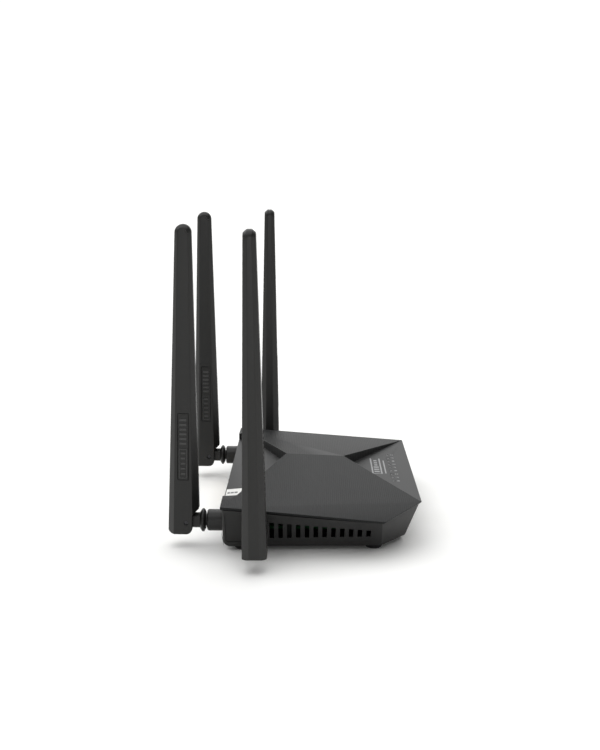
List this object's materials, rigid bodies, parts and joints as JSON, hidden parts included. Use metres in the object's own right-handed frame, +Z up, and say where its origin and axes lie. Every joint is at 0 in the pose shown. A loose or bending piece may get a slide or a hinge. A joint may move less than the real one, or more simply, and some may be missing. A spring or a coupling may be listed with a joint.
{
  "type": "wireless router",
  "caption": "Flat wireless router with a faceted black cover, a row of status lights, rear network sockets and swivelling, folding flat antennas.",
  "frame": {"origin": "middle of the whole object's footprint, on the plane under the rubber feet, with the antennas upright", "axes": "+X to the right side seen from the front, +Y to the rear with the sockets, +Z up"},
  "size_m": [0.2612, 0.1562, 0.1977],
  "materials": {
    "cover_plastic": "satin, very fine ribs",
    "case_plastic": "fine matt texture",
    "antenna_plastic": "fine satin",
    "button_plastic": "satin",
    "clear_plastic": "clear moulding",
    "led_package": "diffused",
    "circuit_board": "solder mask",
    "gold_contact": "gold flash",
    "jack_plastic": "matt",
    "steel_pin": "plated",
    "switch_body": "matt",
    "heat_sink_aluminium": "extruded",
    "chip_epoxy": "moulded epoxy",
    "shield_can": "tinned sheet",
    "capacitor_can": "drawn can",
    "ferrite": "sintered",
    "lead_jacket": "extruded",
    "steel_screw": "black zinc",
    "foot_rubber": "matt",
    "paper_label": "printed film",
    "port_shell": "moulded",
    "wan_shell": "moulded",
    "radiator_copper": "plated strip"
  },
  "bodies": {
    "case": {"top_cover": "cover_plastic", "bottom_case": "case_plastic", "light_guide": "clear_plastic", "status_leds": "led_package", "main_board": "circuit_board", "wan_port": "wan_shell", "lan_port_1": "port_shell", "lan_port_2": "port_shell", "lan_port_3": "port_shell", "lan_port_4": "port_shell", "port_contacts": "gold_contact", "power_jack": "jack_plastic", "power_jack_pin": "steel_pin", "wps_switch": "switch_body", "heat_sink": "heat_sink_aluminium", "processor": "chip_epoxy", "memory_chips": "chip_epoxy", "rf_shields": "shield_can", "network_transformers": "chip_epoxy", "capacitors": "capacitor_can", "inductors": "ferrite", "crystal": "shield_can", "lead_plugs": "gold_contact", "antenna_leads": "lead_jacket", "board_screws": "steel_screw", "case_screws": "steel_screw", "rubber_feet": "foot_rubber", "port_label": "paper_label", "base_label": "paper_label", "antenna_nuts": "antenna_plastic", "rear_left_collar": "antenna_plastic", "rear_right_collar": "antenna_plastic", "side_left_collar": "antenna_plastic", "side_right_collar": "antenna_plastic"},
    "button": {"wps_button": "button_plastic", "switch_plunger": "button_plastic"},
    "rear_left_swivel": {"rear_left_knuckle": "antenna_plastic", "rear_left_clip": "steel_pin"},
    "rear_left_antenna": {"rear_left_paddle": "antenna_plastic", "rear_left_pin": "steel_screw", "rear_left_radiator": "radiator_copper"},
    "rear_right_swivel": {"rear_right_knuckle": "antenna_plastic", "rear_right_clip": "steel_pin"},
    "rear_right_antenna": {"rear_right_paddle": "antenna_plastic", "rear_right_pin": "steel_screw", "rear_right_radiator": "radiator_copper"},
    "side_left_swivel": {"side_left_knuckle": "antenna_plastic", "side_left_clip": "steel_pin"},
    "side_left_antenna": {"side_left_paddle": "antenna_plastic", "side_left_pin": "steel_screw", "side_left_radiator": "radiator_copper"},
    "side_right_swivel": {"side_right_knuckle": "antenna_plastic", "side_right_clip": "steel_pin"},
    "side_right_antenna": {"side_right_paddle": "antenna_plastic", "side_right_pin": "steel_screw", "side_right_radiator": "radiator_copper"}
  },
  "joints": [
    {"name": "rear_left_swivel_turn", "type": "hinge", "parent": "case", "child": "rear_left_swivel", "pos_m": [-0.0771, 0.04392, 0.0162], "axis": [0, 1, 0], "range_deg": [-90, 45]},
    {"name": "rear_left_antenna_fold", "type": "hinge", "parent": "rear_left_swivel", "child": "rear_left_antenna", "pos_m": [-0.0771, 0.06673, 0.0162], "axis": [-1, 0, 0], "range_deg": [0, 90.7]},
    {"name": "rear_right_swivel_turn", "type": "hinge", "parent": "case", "child": "rear_right_swivel", "pos_m": [0.0771, 0.04392, 0.0162], "axis": [0, 1, 0], "range_deg": [-45, 90]},
    {"name": "rear_right_antenna_fold", "type": "hinge", "parent": "rear_right_swivel", "child": "rear_right_antenna", "pos_m": [0.0771, 0.06673, 0.0162], "axis": [-1, 0, 0], "range_deg": [0, 90]},
    {"name": "side_left_swivel_turn", "type": "hinge", "parent": "case", "child": "side_left_swivel", "pos_m": [-0.0965, 0.02283, 0.0162], "axis": [-1, 0, 0], "range_deg": [-90.65, 89.35]},
    {"name": "side_left_antenna_fold", "type": "hinge", "parent": "side_left_swivel", "child": "side_left_antenna", "pos_m": [-0.1193, 0.02283, 0.0162], "axis": [0, -0.9999, 0.0113], "range_deg": [0, 90]},
    {"name": "side_right_swivel_turn", "type": "hinge", "parent": "case", "child": "side_right_swivel", "pos_m": [0.0965, 0.02283, 0.0162], "axis": [1, 0, 0], "range_deg": [-90, 90]},
    {"name": "side_right_antenna_fold", "type": "hinge", "parent": "side_right_swivel", "child": "side_right_antenna", "pos_m": [0.1193, 0.02283, 0.0162], "axis": [0, 1, 0], "range_deg": [0, 90]},
    {"name": "wps_button_press", "type": "slide", "parent": "case", "child": "button", "axis": [0, -1, 0], "range_m": [0, 0.0006], "stiffness_N_per_m": 800, "springref_m": -0.0004}
  ]
}
